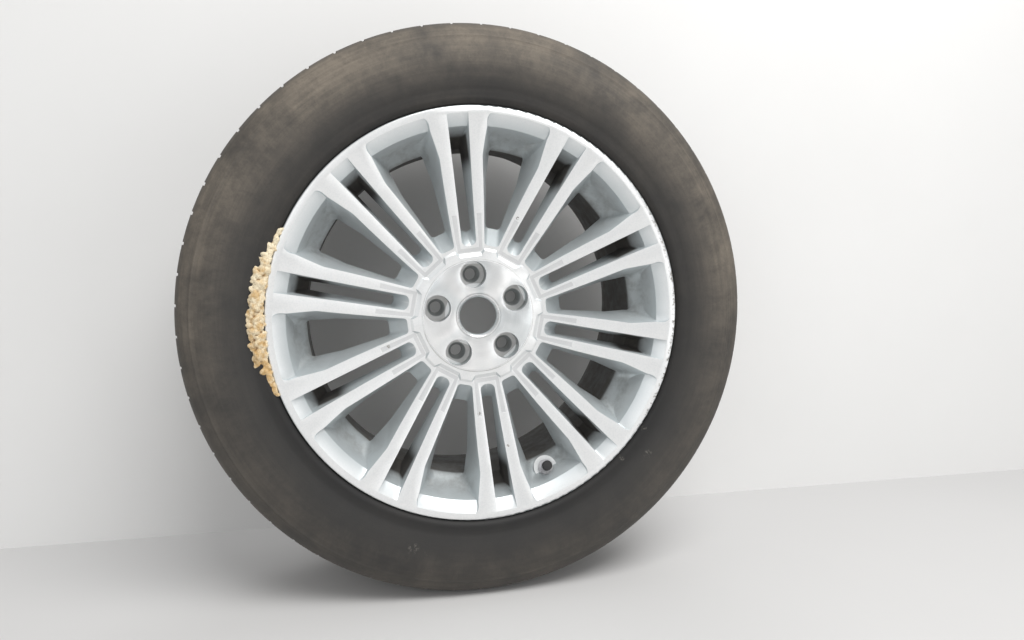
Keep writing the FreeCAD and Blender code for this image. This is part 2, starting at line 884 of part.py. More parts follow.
# lumpy arc of foam lying on the rim edge and the tyre wall
def make_crust(rim, tyre):
    widest = max(crust_half_wides)
    sections = []
    for i, half_wide in enumerate(crust_half_wides):
        middle = Vector(crust_inner_r + half_wide, crust_middle_y, 0)
        side = middle + Vector(half_wide, 0, 0)
        top = middle + Vector(0, crust_high * half_wide / widest, 0)
        section = Part.Wire(Part.Ellipse(side, top, middle).toShape())
        sections.append(around(section, crust_start_angle + i * crust_step_angle))
    crust = Part.makeLoft(sections, True, False)
    lift = Vector(0, -crust_clear, 0)
    return crust.cut([rim.translated(lift), tyre.translated(lift)])


def main():
    os.makedirs("parts", exist_ok=True)
    rim = make_rim()
    tyre = make_tyre()
    nodes = {
        "alloy_rim": rim,
        "tyre": tyre,
        "valve_stem": at_valve(make_stem()),
        "valve_grommet": at_valve(make_grommet()),
        "valve_washer": at_valve(make_washer()),
        "valve_nut": at_valve(make_nut()),
        "valve_core": at_valve(make_core()),
        "valve_pin": at_valve(make_pin()),
        "valve_cap": at_valve(make_cap()),
        "cap_seal": at_valve(make_cap_seal()),
        "sensor_body": at_valve(make_sensor()),
        "sensor_screw": at_valve(make_sensor_screw()),
        "balance_weights": make_weights(),
        "foam_crust": make_crust(rim, tyre),
    }
    for name, shape in nodes.items():
        shape.exportStep("parts/" + name + ".step")
        print(name, len(shape.Solids), shape.isValid(), round(shape.Volume / 1000, 2), "cm3")


main()
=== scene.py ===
import math
import random

import bmesh
import bpy
from mathutils import Matrix, Vector, noise


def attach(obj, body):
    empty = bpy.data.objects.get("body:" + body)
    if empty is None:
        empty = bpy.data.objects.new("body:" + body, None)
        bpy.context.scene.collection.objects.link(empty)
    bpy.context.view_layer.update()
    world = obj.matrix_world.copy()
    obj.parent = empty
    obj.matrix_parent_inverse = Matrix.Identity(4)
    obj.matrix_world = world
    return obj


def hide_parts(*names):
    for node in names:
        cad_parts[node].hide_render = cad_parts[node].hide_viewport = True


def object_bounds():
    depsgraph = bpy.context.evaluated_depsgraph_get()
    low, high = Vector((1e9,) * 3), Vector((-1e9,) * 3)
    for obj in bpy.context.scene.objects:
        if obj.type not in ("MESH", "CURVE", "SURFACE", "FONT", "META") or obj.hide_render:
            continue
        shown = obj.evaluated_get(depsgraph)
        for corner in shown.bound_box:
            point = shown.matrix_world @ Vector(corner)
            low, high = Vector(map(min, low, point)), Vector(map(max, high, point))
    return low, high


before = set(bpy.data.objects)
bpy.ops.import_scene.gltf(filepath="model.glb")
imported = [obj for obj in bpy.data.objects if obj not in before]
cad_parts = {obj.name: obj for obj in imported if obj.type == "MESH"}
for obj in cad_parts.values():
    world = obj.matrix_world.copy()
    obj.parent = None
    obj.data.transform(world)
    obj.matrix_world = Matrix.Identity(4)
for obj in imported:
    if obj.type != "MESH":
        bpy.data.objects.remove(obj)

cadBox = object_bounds()
print("frame loaded,", len(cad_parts), "nodes")


class Wire:  # a shader socket that can stand in a sum
    def __init__(self, tree, socket):
        self.tree = tree
        self.socket = socket

    def node(self, kind, settings=None, sockets=None, out=0):
        made = self.tree.nodes.new("ShaderNode" + kind)
        for name, value in (settings or {}).items():
            setattr(made, name, value)
        for name, value in (sockets or {}).items():
            if isinstance(value, Wire):
                self.tree.links.new(value.socket, made.inputs[name])
            else:
                made.inputs[name].default_value = value
        return Wire(self.tree, made.outputs[out]) if made.outputs else None

    def sum(self, operation, first, second=0.0):
        return self.node("Math", {"operation": operation}, {0: first, 1: second})

    def __add__(self, other):
        return self.sum("ADD", self, other)

    def __radd__(self, other):
        return self.sum("ADD", other, self)

    def __sub__(self, other):
        return self.sum("SUBTRACT", self, other)

    def __rsub__(self, other):
        return self.sum("SUBTRACT", other, self)

    def __mul__(self, other):
        return self.sum("MULTIPLY", self, other)

    def __rmul__(self, other):
        return self.sum("MULTIPLY", other, self)

    def __truediv__(self, other):
        return self.sum("DIVIDE", self, other)

    def __pow__(self, other):
        return self.sum("POWER", self, other)

    def top(self, other):  # the larger of two
        return self.sum("MAXIMUM", self, other)

    def rise(self, low, high):  # soft step from 0 at low to 1 at high
        spans = {"Value": self, "From Min": low, "From Max": high}
        return self.node("MapRange", {"interpolation_type": "SMOOTHSTEP"}, spans)

    def band(self, low, high, soft):  # 1 between low and high
        return self.rise(low - soft, low) * (1 - self.rise(high, high + soft))

    def grain(self, scale, detail=3.0, rough=0.55, twist=0.0):
        looks = {"Vector": self, "Scale": scale, "Detail": detail}
        looks.update({"Roughness": rough, "Distortion": twist})
        return self.node("TexNoise", None, looks)

    def parts(self):
        split = self.node("SeparateXYZ", None, {0: self})
        outlets = split.socket.node.outputs
        return [Wire(self.tree, outlets[i]) for i in range(3)]

    def tint(self, base, over):  # colour mix by this mask
        return self.node("Mix", {"data_type": "RGBA"}, {0: self, 6: base, 7: over}, 2)


def colour(r, g, b):
    return (r, g, b, 1.0)


def newFinish(name):
    material = bpy.data.materials.new(name)
    material.use_nodes = True
    material.node_tree.nodes.clear()
    start = Wire(material.node_tree, None)
    return material, start.node("TexCoord", None, None, "Object")


def closeFinish(material, place, sockets, bumps=()):
    normal = None
    for height, strength, depth in bumps:
        looks = {"Height": height, "Strength": strength, "Distance": depth}
        if normal:
            looks["Normal"] = normal
        normal = place.node("Bump", None, looks)
    if normal:
        sockets["Normal"] = normal
    shader = place.node("BsdfPrincipled", None, sockets)
    place.node("OutputMaterial", None, {"Surface": shader})
    return material


def polar(place):  # distance from the axle, depth and the flat picture's place
    x, y, z = place.parts()
    return (x * x + z * z) ** 0.5, x, y, z


def spun(place, along, outward):  # noise place drawn out round the axle or along the radius
    radius, x, y, z = polar(place)
    reach = (radius + y * 0.7) * outward
    return place.node("CombineXYZ", None, {0: x / radius * along, 1: z / radius * along, 2: reach})


def spot(x, z, at, size):  # soft round mark on the front
    dx = x - at[0]
    dz = z - at[1]
    return 1 - ((dx * dx + dz * dz) ** 0.5).rise(size * 0.4, size)


rimPaint = {
    "face": colour(0.85, 0.855, 0.855),
    "wall": colour(0.59, 0.635, 0.65),
    "turned": colour(0.91, 0.91, 0.91),
    "shade": colour(0.46, 0.47, 0.48),
    "sootAndShadeTone": colour(0.013, 0.010, 0.008),
    "grimeAndShade": colour(0.13, 0.12, 0.105),
    "bare": colour(0.44, 0.43, 0.41),
    "roughness": 0.36,
    "metal": 0.48,
    "coat": 0.25,
    "coatRoughness": 0.14,
    "frontOn": (0.72, 0.96),  # how square to the front a face has to look
    "discRadius": 0.0722,
    "discFace": -0.0773,
    "pairAngle": math.radians(97.3),  # middle of one spoke pair
    "pairPitch": math.radians(36.0),
    "panel": (0.0835, 0.0885, 0.1305),  # where the flat at the root starts, forks and ends
    "slotHalf": (0.0092, 0.024),  # at the root, and its growth along the spoke
    "pairHalf": (0.0190, 0.063),
    "panelInset": 0.0022,
    "panelSoft": 0.0010,
    "barrelDepth": (-0.064, -0.052),  # soot sets in between these
    "barrelRadius": (0.19, 0.208),
    "backDepth": (-0.060, -0.035),
    "slotEndFrom": (0.180, 0.204),  # painted shade in the outer end of every slot
    "slotEndTo": (0.2275, 0.2325),
    "slotEndHalf": (0.0135, 0.0155),
    "slotEndDepth": (-0.1000, -0.0900),
    "filmDepth": (-0.104, -0.070),  # brake dust, with a light painted shade, on the deeper walls
    "filmRadius": (0.195, 0.215),
    "pockets": (0.042, 0.067),  # ring that holds the bolt holes
    "pocketSoft": 0.001,
    "capRing": (0.0279, 0.0293),  # groove round the bore
    "capRingSoft": 0.0004,
    "nicks": ((0.050, 0.126), (0.0, -0.128), (0.037, -0.170), (-0.116, -0.037)),
    "nickSize": 0.0028,
    "scuffRadius": (0.2545, 0.2590),
    "scuffSide": (0.195, 0.235),
    "biteRadius": (0.2540, 0.2590),
}


def pairFold(place, radius, x, z):  # place along and across the nearest pair of spokes
    s = rimPaint
    pitch = s["pairPitch"]
    turn = place.sum("ARCTAN2", z, x) - (s["pairAngle"] - pitch / 2)
    folded = place.sum("FLOORED_MODULO", turn, pitch) - pitch / 2
    return radius * place.sum("COSINE", folded), place.sum("ABSOLUTE", radius * place.sum("SINE", folded))


def rootPanel(along, across):  # the forked flat where two spokes leave the hub
    s = rimPaint
    start, fork, end = s["panel"]
    out = along - start
    slotEdge = across - out * s["slotHalf"][1] - (s["slotHalf"][0] + s["panelInset"])
    pairEdge = across - out * s["pairHalf"][1] - (s["pairHalf"][0] - s["panelInset"])
    soft = s["panelSoft"]
    offSlot = slotEdge.rise(0, soft).top(1 - along.rise(fork - soft, fork))
    return offSlot * (1 - pairEdge.rise(-soft, 0)) * along.band(start, end, soft)


def rimSootAndShade(y, radius, along, across, frontOn, streak):  # dark barrel and back from soot, with painted shade in the slot ends
    s = rimPaint
    inBarrel = y.rise(*s["barrelDepth"]) * radius.rise(*s["barrelRadius"])
    behind = y.rise(*s["backDepth"])
    # painted shade: the outer slot ends are darkened as if they opened into the dark barrel
    slotEndShade = along.rise(*s["slotEndFrom"]) * (1 - along.rise(*s["slotEndTo"]))
    slotEndShade = slotEndShade * (1 - across.rise(*s["slotEndHalf"]))
    slotEndShade = slotEndShade * y.rise(*s["slotEndDepth"]) * (1 - frontOn) * 0.97
    return (inBarrel.top(behind * 0.6) * (0.86 + streak.rise(0.25, 0.8) * 0.14)).top(slotEndShade)


def rimWear(place, x, z, radius, frontOn):  # nicks on the face, scuffs and bites on the lip
    s = rimPaint
    nick = spot(x, z, s["nicks"][0], s["nickSize"])
    for at in s["nicks"][1:]:
        nick = nick.top(spot(x, z, at, s["nickSize"]))
    nick = nick * frontOn * place.grain(500.0, 3.0).rise(0.40, 0.52)
    scuffed = radius.rise(*s["scuffRadius"]) * x.rise(*s["scuffSide"])
    scuffed = scuffed * place.grain(160.0, 6.0, 0.7).rise(0.50, 0.60)
    bitten = radius.rise(*s["biteRadius"]) * place.grain(95.0, 5.0, 0.75, 0.6).rise(0.71, 0.77)
    return scuffed.top(bitten).top(nick)


def rimFinish():
    s = rimPaint
    material, place = newFinish("rimSilver")
    radius, x, y, z = polar(place)
    along, across = pairFold(place, radius, x, z)
    normal = place.node("NewGeometry", None, None, "Normal").parts()
    frontOn = (0 - normal[1]).rise(*s["frontOn"])
    cloud = place.grain(22.0, 4.0)
    flake = place.grain(1500.0, 2.0)
    speck = place.grain(520.0, 2.0)
    streak = place.grain(60.0, 5.0, 0.65)
    # bright tone on faces square to the front, blue-grey on the walls: partly a two-tone finish, partly
    # painted shade and a painted sky reflection on the walls
    paint = frontOn.tint(s["wall"], s["face"])
    paint = ((cloud - 0.35) * 0.25 + speck.rise(0.40, 0.66) * 0.16).tint(paint, s["wall"])
    # painted shade on the forked flats where the spokes leave the hub
    panel = rootPanel(along, across) * frontOn
    paint = (panel * (0.22 + cloud * 0.3)).tint(paint, s["shade"])
    edge, face = s["discRadius"], s["discFace"]
    disc = 1 - radius.rise(edge - 0.0006, edge + 0.0004)
    disc = disc * (1 - y.rise(face - 0.0003, face + 0.0003))
    rings = spun(place, 0.6, 2600.0).grain(1.0, 2.0)  # turning marks
    fans = spun(place, 1.5, 4.0).grain(1.0, 1.5, 0.5).rise(0.38, 0.62)  # light caught by them
    paint = disc.tint(paint, s["turned"])
    # painted sheen: fans of light caught by the turning marks, laid into the disc's colour
    paint = (disc * (fans * 0.55 + rings.rise(0.40, 0.80) * 0.22)).tint(paint, s["wall"])
    # soot on the barrel and back, painted shade in the slot ends
    sootAndShade = rimSootAndShade(y, radius, along, across, frontOn, streak)
    paint = sootAndShade.tint(paint, s["sootAndShadeTone"])
    # deeper walls: a light painted shade (deep) and streaks of brake dust (film)
    deep = (1 - frontOn) * y.rise(*s["filmDepth"]) * (0.25 + radius.rise(*s["filmRadius"]) * 0.75)
    film = deep * streak.rise(0.38, 0.72)
    paint = (deep * 0.20 + film * 0.34).tint(paint, s["grimeAndShade"])
    # painted shade with streaky dirt inside the bolt pockets
    pocket = radius.band(*s["pockets"], s["pocketSoft"]) * y.rise(face + 0.001, face + 0.010)
    paint = (pocket * (0.4 + streak * 0.5) * 0.8).tint(paint, s["grimeAndShade"])
    seam = radius.band(edge + 0.0008, edge + 0.0012, 0.0008) * streak.rise(0.3, 0.6)
    paint = (seam * 0.35).tint(paint, s["grimeAndShade"])
    # painted shade in the groove round the bore
    ringed = radius.band(*s["capRing"], s["capRingSoft"]) * y.rise(face - 0.0010, face - 0.0005)
    paint = (ringed * 0.8).tint(paint, s["grimeAndShade"])
    worn = rimWear(place, x, z, radius, frontOn)
    paint = worn.tint(paint, s["bare"])
    paint = (worn * place.grain(700.0, 3.0).rise(0.45, 0.6)).tint(paint, s["grimeAndShade"])
    rough = s["roughness"] + sootAndShade * 0.45 + film * 0.22 + worn * 0.2
    sockets = {
        "Base Color": paint,
        "Roughness": rough + (flake - 0.5) * 0.06 - disc * 0.10,
        "Metallic": (s["metal"] + disc * 0.14) * (1 - sootAndShade) - film * 0.15 - worn * 0.15,
        "Coat Weight": s["coat"] * (1 - sootAndShade) * (1 - disc),
        "Coat Roughness": s["coatRoughness"],
    }
    bumps = [
        (flake, 0.05, 0.0002),
        (place.grain(320.0, 3.0), 0.04, 0.0006),
        (0 - panel, 0.5, 0.0004),
        (disc * rings, 0.22, 0.0004),
        (0 - worn * place.grain(900.0, 4.0), 0.5, 0.0008),
        (sootAndShade * place.grain(800.0, 4.0), 0.25, 0.0006),
    ]
    return closeFinish(material, place, sockets, bumps)


tyreLook = {
    "rubber": colour(0.030, 0.0295, 0.029),
    "black": colour(0.013, 0.013, 0.0135),
    "dust": colour(0.205, 0.176, 0.142),
    "pale": colour(0.21, 0.195, 0.17),
    "roughness": 0.58,
    "specular": 0.38,
    "beadRadius": (0.264, 0.292),  # blackest from the rim to here
    "dustRadius": (0.276, 0.342),
    "paleTowardTop": (-0.55, 0.65),  # share of the way up the wheel; the tyre is paler towards the top
    "rubFrom": (0.300, 0.318),
    "rubTo": (0.340, 0.350),
    "treadRadius": (0.3540, 0.3600),
    "marks": ((0.223, -0.185, 0.007), (0.219, -0.152, 0.005), (0.187, -0.190, 0.005), (-0.09, -0.288, 0.009)),
}


def tyreFinish():
    s = tyreLook
    material, place = newFinish("tyreRubber")
    radius, x, _, z = polar(place)
    cloud = place.grain(9.0, 5.0, 0.6)
    speck = place.grain(420.0, 4.0, 0.65)
    rubbed = place.grain(46.0, 6.0, 0.7, 0.4)
    rings = spun(place, 1.6, 210.0).grain(1.0, 5.0, 0.7)
    rays = spun(place, 17.0, 26.0).grain(1.0, 5.0, 0.7)
    outward = radius.rise(*s["dustRadius"])
    # more of the dust colour towards the top of the wheel
    upper = (z / radius).rise(*s["paleTowardTop"])
    tread = radius.rise(*s["treadRadius"])
    veil = (0.14 + outward * 0.86) * (0.30 + upper * 0.70)
    patchy = 0.50 + speck.rise(0.3, 0.75) * 0.20 + rings.rise(0.35, 0.70) * 0.30
    patchy = patchy + rubbed.rise(0.36, 0.64) * 0.30
    dusty = veil * cloud.rise(0.16, 0.68) * patchy * (1 - tread * 0.62)
    paint = (1 - radius.rise(*s["beadRadius"])).tint(s["rubber"], s["black"])
    paint = dusty.tint(paint, s["dust"])
    rub = rays.rise(0.44, 0.66) * radius.rise(*s["rubFrom"]) * (1 - radius.rise(*s["rubTo"]))
    paint = (rub * (0.3 + upper * 0.7) * 0.20).tint(paint, s["dust"])
    paint = (tread * (0.10 + rubbed.rise(0.35, 0.7) * 0.22)).tint(paint, s["dust"])
    scuff = rubbed.rise(0.70, 0.76) * outward * 0.6
    for across, high, size in s["marks"]:
        broken = place.grain(190.0, 5.0, 0.7).rise(0.48, 0.62)
        scuff = scuff.top(spot(x, z, (across, high), size) * broken * 0.8)
    paint = (scuff * 0.7).tint(paint, s["pale"])
    sockets = {
        "Base Color": paint,
        "Roughness": s["roughness"] + dusty * 0.28 + scuff * 0.1 + (speck - 0.5) * 0.1,
        "Specular IOR Level": s["specular"],
    }
    bumps = [
        (speck, 0.16, 0.0006),
        (rings, 0.12, 0.0006),
        (rays * outward, 0.14, 0.0012),
        (rubbed, 0.10, 0.0012),
    ]
    return closeFinish(material, place, sockets, bumps)


foamLook = {
    "tan": colour(0.62, 0.41, 0.18),
    "pale": colour(0.88, 0.78, 0.57),
    "brown": colour(0.25, 0.128, 0.042),
    "roughness": 0.68,
}


def foamFinish():
    s = foamLook
    material, place = newFinish("crustFoam")
    z = place.parts()[2]
    patch = place.grain(110.0, 5.0, 0.6)
    cells = place.node("TexVoronoi", None, {"Vector": place, "Scale": 620.0}, "Distance")
    high = place.node("Attribute", {"attribute_name": "crest"}, None, "Fac")  # 0 in a hollow, 1 on a crest
    paler = (patch + z * 1.2).rise(0.36, 0.66)
    paint = paler.tint(s["tan"], s["pale"])
    # painted highlight on the crests and painted shade in the hollows
    paint = (high.rise(0.52, 0.80) * 0.6).tint(paint, s["pale"])
    paint = (1 - high.rise(0.26, 0.50)).tint(paint, s["brown"])
    paint = (cells.rise(0.35, 0.75) * 0.25).tint(paint, s["brown"])
    sockets = {"Base Color": paint, "Roughness": s["roughness"] + patch * 0.2}
    bumps = [(cells, 0.30, 0.0006), (patch, 0.3, 0.0014)]
    return closeFinish(material, place, sockets, bumps)


smallFinishes = {  # two tones, metal share, roughness, grain size and depth of the grain
    "valveMetal": (colour(0.66, 0.66, 0.67), colour(0.40, 0.40, 0.42), 0.95, 0.28, 900.0, 0.10),
    "sealRubber": (colour(0.026, 0.026, 0.027), colour(0.055, 0.053, 0.050), 0.0, 0.62, 700.0, 0.20),
    "coreBrass": (colour(0.62, 0.45, 0.20), colour(0.36, 0.25, 0.12), 1.0, 0.32, 1200.0, 0.08),
    "capPlastic": (colour(0.012, 0.012, 0.013), colour(0.034, 0.033, 0.032), 0.0, 0.52, 800.0, 0.12),
    "sensorPlastic": (colour(0.040, 0.042, 0.046), colour(0.085, 0.082, 0.078), 0.0, 0.55, 600.0, 0.18),
    "screwSteel": (colour(0.55, 0.56, 0.58), colour(0.30, 0.30, 0.31), 1.0, 0.34, 1000.0, 0.10),
    "weightZinc": (colour(0.40, 0.41, 0.42), colour(0.20, 0.19, 0.18), 0.85, 0.46, 500.0, 0.22),
}


def smallFinish(name):
    light, dark, metal, rough, scale, depth = smallFinishes[name]
    material, place = newFinish(name)
    speck = place.grain(scale, 4.0, 0.6)
    cloud = place.grain(scale * 0.16, 4.0, 0.65)
    worn = cloud.rise(0.36, 0.70) * (0.5 + speck * 0.6)
    sockets = {
        "Base Color": worn.tint(light, dark),
        "Roughness": rough + worn * 0.18 + (speck - 0.5) * 0.08,
        "Metallic": metal,
    }
    return closeFinish(material, place, sockets, [(speck, depth, 0.0003), (cloud, depth, 0.0008)])


nodeFinishes = {
    "valve_stem": "valveMetal",
    "valve_grommet": "sealRubber",
    "valve_washer": "valveMetal",
    "valve_nut": "valveMetal",
    "valve_core": "coreBrass",
    "valve_pin": "coreBrass",
    "valve_cap": "capPlastic",
    "cap_seal": "sealRubber",
    "sensor_body": "sensorPlastic",
    "sensor_screw": "screwSteel",
    "balance_weights": "weightZinc",
}


def dressNodes():
    made = {}
    for nodeName, finish in nodeFinishes.items():
        if finish not in made:
            made[finish] = smallFinish(finish)
        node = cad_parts[nodeName]
        node.data.materials.clear()
        node.data.materials.append(made[finish])
    print("small pieces finished:", len(nodeFinishes))


def placePiece(name, mesh, material, body, nodes):
    piece = bpy.data.objects.new(name, mesh)
    bpy.context.scene.collection.objects.link(piece)
    mesh.materials.clear()
    mesh.materials.append(material)
    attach(piece, body)
    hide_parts(*nodes)
    return piece


def bakedMesh(holder):  # modifiers turned into a plain mesh, the holder thrown away
    graph = bpy.context.evaluated_depsgraph_get()
    mesh = bpy.data.meshes.new_from_object(holder.evaluated_get(graph))
    old = holder.data
    bpy.data.objects.remove(holder)
    bpy.data.meshes.remove(old)
    return mesh


rimEdges = {
    "mergeGap": 0.000004,
    "flatAngle": math.radians(0.7),
    "bevel": 0.0011,
    "segments": 2,
    "sharpAngle": math.radians(24),
}


def dressRim():
    s = rimEdges
    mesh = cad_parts["alloy_rim"].data.copy()
    work = bmesh.new()
    work.from_mesh(mesh)
    bmesh.ops.remove_doubles(work, verts=work.verts, dist=s["mergeGap"])
    bmesh.ops.dissolve_limit(work, angle_limit=s["flatAngle"], verts=work.verts, edges=work.edges)
    # many-sided faces are split, or the bevel folds the disc over its holes
    wideFaces = [face for face in work.faces if len(face.verts) > 4]
    bmesh.ops.triangulate(work, faces=wideFaces, quad_method="BEAUTY", ngon_method="BEAUTY")
    work.to_mesh(mesh)
    work.free()
    holder = bpy.data.objects.new("rim_work", mesh)
    bpy.context.scene.collection.objects.link(holder)
    bevel = holder.modifiers.new("edges", "BEVEL")
    bevel.width = s["bevel"]
    bevel.segments = s["segments"]
    bevel.limit_method = "ANGLE"
    bevel.angle_limit = s["sharpAngle"]
    bevel.use_clamp_overlap = True
    bevel.miter_outer = "MITER_ARC"
    mesh = bakedMesh(holder)
    mesh.shade_smooth()
    mesh.set_sharp_from_angle(angle=s["sharpAngle"])
    placePiece("rim_casting", mesh, rimFinish(), "wheel", ["alloy_rim"])
    print("rim edges rounded,", len(mesh.polygons), "faces")


tyreShape = {  # millimetres, one half; the other half mirrors it
    "toe": (242.3, 78.0),
    "seat": (243.9, 95.0),
    "root": (250.4, 101.4),
    "beadTop": (262.0, 101.4),
    "lipEdge": (262.0, 110.0),
    "lipMid": (266.0, 114.6),
    "guard": (270.0, 116.0),
    "guardFoot": (277.0, 115.0),
    "widest": (308.0, 121.0),
    "shoulder": (345.0, 112.0),
    "shoulderMid": (358.25, 102.0),
    "crownEdge": (362.5, 88.0),
    "crown": 366.0,
    "drop": 3.5,
    "grooves": (18.5, 55.5),
    "grooveHalf": 4.5,
    "grooveFoot": 3.5,
    "grooveDeep": 4.5,
    "slotFrom": 72.0,
    "slotStep": 0.3,
    "slotFloor": 358.5,
    "shoulderStep": 80.0,
    "middleStep": 8.0,
    "sipeDeep": 2.4,
    "sipeBelow": 3.0,
    "ribs": (342.5,),
    "ribHalf": 1.3,
    "ribHigh": 0.3,
    "linerToe": (251.0, 76.0),
    "linerFoot": (262.0, 92.5),
    "linerWide": (308.0, 111.5),
    "linerShoulder": (343.0, 100.5),
    "linerCrown": (352.5, 68.0),
    "pitches": 62,
    "mergeGap": 0.00002,  # metres
    "sharpAngle": math.radians(35),
}


def arcThrough(a, b, c, count):  # points on the circle through three, first one left out
    ax, ay, bx, by, cx, cy = *a, *b, *c
    d = 2 * (ax * (by - cy) + bx * (cy - ay) + cx * (ay - by))
    aa, bb, cc = ax * ax + ay * ay, bx * bx + by * by, cx * cx + cy * cy
    ux = (aa * (by - cy) + bb * (cy - ay) + cc * (ay - by)) / d
    uy = (aa * (cx - bx) + bb * (ax - cx) + cc * (bx - ax)) / d
    radius = math.hypot(ax - ux, ay - uy)
    first = math.atan2(ay - uy, ax - ux)
    turn = (math.atan2(cy - uy, cx - ux) - first + math.pi) % (2 * math.pi) - math.pi
    spots = [first + turn * (i + 1) / count for i in range(count)]
    return [(ux + radius * math.cos(t), uy + radius * math.sin(t)) for t in spots]


def sidewallLine(count, withRibs):
    s = tyreShape
    line = [s["toe"], s["seat"], s["root"], s["beadTop"], s["lipEdge"]]
    line += arcThrough(s["lipEdge"], s["lipMid"], s["guard"], 3)
    line.append(s["guardFoot"])
    wall = arcThrough(s["guardFoot"], s["widest"], s["shoulder"], count)
    if withRibs:  # raised rings on the wall
        steps = sorted({round(r + k * s["ribHalf"], 3) for r in s["ribs"] for k in (-1, -0.6, 0.6, 1)})
        fine = arcThrough(s["guardFoot"], s["widest"], s["shoulder"], 400)
        wall = [p for p in wall if all(abs(p[0] - r) > 1.6 * s["ribHalf"] for r in s["ribs"])]
        for r in steps:
            near = min(fine, key=lambda p: abs(p[0] - r))
            inner = any(abs(near[0] - c) < 0.8 * s["ribHalf"] for c in s["ribs"])
            wall.append((near[0], near[1] + (s["ribHigh"] if inner else 0.0)))
        wall.sort()
    return line + wall + arcThrough(s["shoulder"], s["shoulderMid"], s["crownEdge"], 9)


def crownLine():  # from one edge of the tread to the other, grooves cut in
    s = tyreShape
    halves = []
    for middle in s["grooves"]:
        deep = s["grooveDeep"]
        halves += [(middle - s["grooveHalf"], 0), (middle - s["grooveFoot"], deep)]
        halves += [(middle + s["grooveFoot"], deep), (middle + s["grooveHalf"], 0)]
    halves += [(s["slotFrom"] - s["slotStep"], 0), (s["slotFrom"] + s["slotStep"], 0), (s["shoulderStep"], 0)]
    spread = [(-y, d) for y, d in reversed(halves)] + [(-s["middleStep"], 0), (s["middleStep"], 0)] + halves
    spread.sort()
    return [(s["crown"] - s["drop"] * (y / s["crownEdge"][1]) ** 2 - d, y) for y, d in spread]


def tyreSection():
    s = tyreShape
    front = [(r, -y) for r, y in sidewallLine(16, True)]
    rear = list(reversed(sidewallLine(12, False)))
    liner = [s["linerToe"], s["linerFoot"]]
    liner += arcThrough(s["linerFoot"], s["linerWide"], s["linerShoulder"], 4)
    liner += [s["linerCrown"]]
    inside = liner + [(r, -y) for r, y in reversed(liner)]
    return front + crownLine() + rear, inside


def tyreRadius(r, y, column):  # how slots and sipes cut into the tread at one column
    s = tyreShape
    kind = column[1]
    inTread = s["slotFrom"] < abs(y)
    if kind == "frontSlot" and y < 0 and inTread:
        return min(r, s["slotFloor"])
    if kind == "rearSlot" and y > 0 and inTread:
        return min(r, s["slotFloor"])
    middleRib = abs(y) < s["grooves"][1] + s["grooveHalf"] and r > s["crown"] - s["sipeBelow"]
    if kind == "sipe" and middleRib:
        return r - s["sipeDeep"]
    return r


tyreColumns = [  # places in one tread pitch
    (-0.25, "sipe"), (-0.242, "plain"), (-0.058, "plain"), (-0.048, "rearSlot"), (0.048, "rearSlot"),
    (0.058, "plain"), (0.242, "plain"), (0.25, "sipe"), (0.258, "plain"), (0.442, "plain"),
    (0.452, "frontSlot"), (0.548, "frontSlot"), (0.558, "plain"), (0.742, "plain"), (0.75, "sipe"),
]


def roundTree(name):  # repeats a mesh about the axle
    tree = bpy.data.node_groups.new(name, "GeometryNodeTree")
    face = tree.interface
    face.new_socket("Pitch", in_out="INPUT", socket_type="NodeSocketGeometry")
    face.new_socket("Count", in_out="INPUT", socket_type="NodeSocketInt")
    face.new_socket("Finish", in_out="INPUT", socket_type="NodeSocketMaterial")
    face.new_socket("Ring", in_out="OUTPUT", socket_type="NodeSocketGeometry")

    def add(kind, links=None, **settings):
        made = tree.nodes.new(kind)
        for key, value in settings.items():
            setattr(made, key, value)
        for key, value in (links or {}).items():
            if isinstance(value, bpy.types.NodeSocket):
                tree.links.new(value, made.inputs[key])
            else:
                made.inputs[key].default_value = value
        return made

    given = add("NodeGroupInput").outputs
    spots = add("GeometryNodeMeshLine", {"Count": given["Count"], "Offset": (0, 0, 0)})
    step = add("ShaderNodeMath", {0: 2 * math.pi, 1: given["Count"]}, operation="DIVIDE")
    number = add("GeometryNodeInputIndex").outputs[0]
    turn = add("ShaderNodeMath", {0: number, 1: step.outputs[0]}, operation="MULTIPLY")
    about = add("ShaderNodeCombineXYZ", {"Y": turn.outputs[0]})
    ring = add("GeometryNodeInstanceOnPoints", {
        "Points": spots.outputs[0],
        "Instance": given["Pitch"],
        "Rotation": about.outputs[0],
    })
    real = add("GeometryNodeRealizeInstances", {0: ring.outputs[0]})
    sewn = {"Geometry": real.outputs[0], "Distance": tyreShape["mergeGap"]}
    joined = add("GeometryNodeMergeByDistance", sewn)
    painted = add("GeometryNodeSetMaterial", {"Geometry": joined.outputs[0], "Material": given["Finish"]})
    add("NodeGroupOutput", {0: painted.outputs[0]})
    return tree


def repeatRound(mesh, count, material):
    holder = bpy.data.objects.new("pitch_work", mesh)
    bpy.context.scene.collection.objects.link(holder)
    ring = holder.modifiers.new("ring", "NODES")
    ring.node_group = roundTree("roundTheAxle")
    ids = {item.name: item.identifier for item in ring.node_group.interface.items_tree}
    ring[ids["Count"]] = count
    ring[ids["Finish"]] = material
    return bakedMesh(holder)


